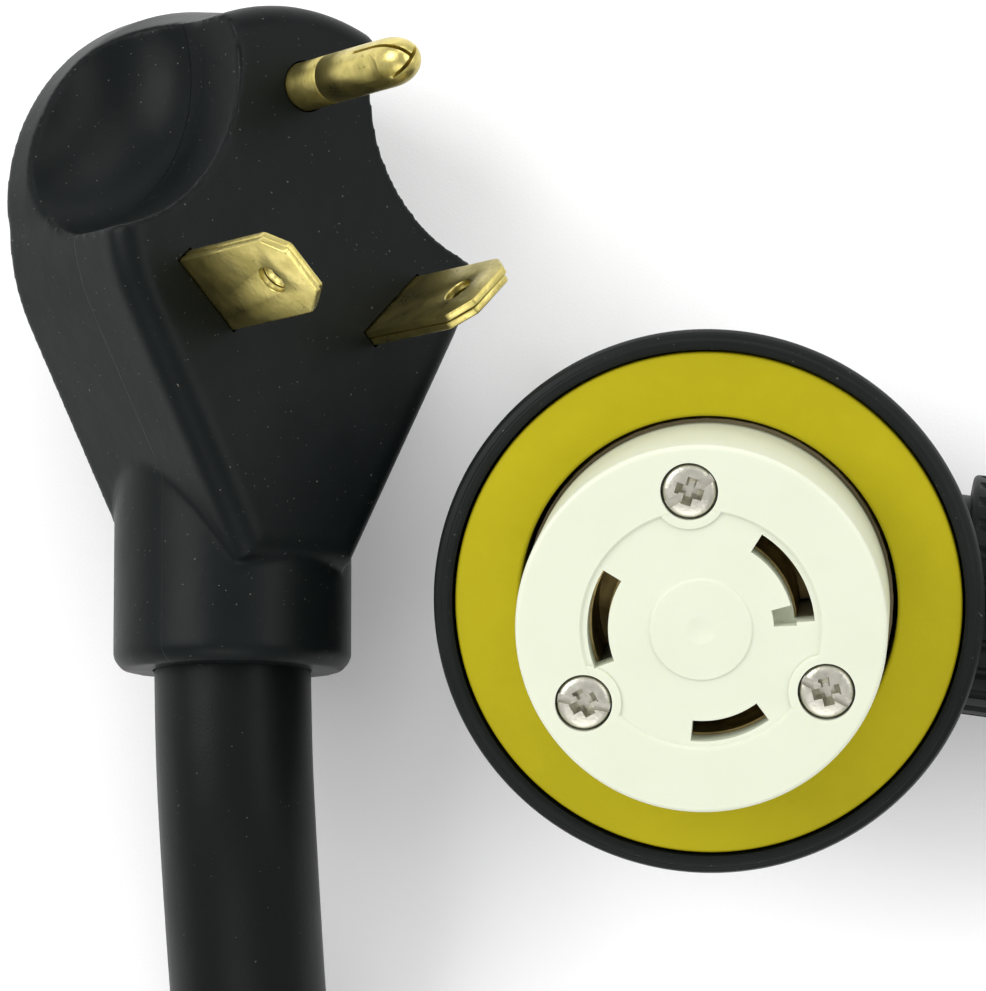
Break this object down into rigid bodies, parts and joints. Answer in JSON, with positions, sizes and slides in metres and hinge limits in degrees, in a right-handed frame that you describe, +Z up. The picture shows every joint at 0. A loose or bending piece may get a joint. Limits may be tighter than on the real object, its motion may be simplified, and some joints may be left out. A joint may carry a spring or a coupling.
{
  "type": "power adapter dogbone",
  "caption": "Short adapter lead for a caravan hook-up: an angled plug head with blades and a round pin, a thick cord, and a right-angle locking connector with a turning ring.",
  "frame": {"origin": "on the table, under the middle of the box around the plug head and the connector, without the cord", "axes": "+Z up from the table, +Y along the plug head towards its rounded top, +X from the plug head towards the connector and its cord exit"},
  "size_m": [0.233, 0.2217, 0.0653],
  "materials": {
    "moulded_black": "satin moulded vinyl",
    "cord_black": "satin vinyl cord jacket",
    "brass": "stamped brass, slightly tarnished",
    "screw_steel": "plated steel",
    "white_nylon": "moulded nylon",
    "yellow_plastic": "matte moulded plastic",
    "carrier_tan": "moulded nylon",
    "gasket_grey": "soft rubber",
    "wire_black": "vinyl insulation",
    "wire_white": "vinyl insulation",
    "wire_green": "vinyl insulation"
  },
  "bodies": {
    "adapter": {"plug_body": "moulded_black", "blade_carrier": "carrier_tan", "hot_blade": "brass", "neutral_blade": "brass", "ground_pin": "brass", "cord_ferrule": "screw_steel", "plug_wire_hot": "wire_black", "plug_wire_neutral": "wire_white", "plug_wire_ground": "wire_green", "cord": "cord_black", "rear_housing": "moulded_black", "gland_nut": "moulded_black", "strain_relief": "cord_black", "front_flange": "yellow_plastic", "housing_gasket": "gasket_grey", "face_insert": "white_nylon", "contact_carrier": "carrier_tan", "contact_hot": "brass", "terminal_screw_hot": "screw_steel", "connector_wire_hot": "wire_black", "contact_neutral": "brass", "terminal_screw_neutral": "screw_steel", "connector_wire_neutral": "wire_white", "contact_ground": "brass", "terminal_screw_ground": "screw_steel", "connector_wire_ground": "wire_green", "face_screw_1": "screw_steel", "face_screw_2": "screw_steel", "face_screw_3": "screw_steel"},
    "washer": {"slip_washer": "white_nylon"},
    "ring": {"locking_ring": "moulded_black"}
  },
  "joints": [
    {"name": "ring_slide", "type": "slide", "parent": "adapter", "child": "washer", "axis": [-0.0851, -0.2164, 0.9726], "range_m": [0, 0.003]},
    {"name": "ring_turn", "type": "hinge", "parent": "washer", "child": "ring", "pos_m": [0.0057, -0.0192, 0.04531], "axis": [-0.0851, -0.2164, 0.9726], "continuous": true}
  ]
}
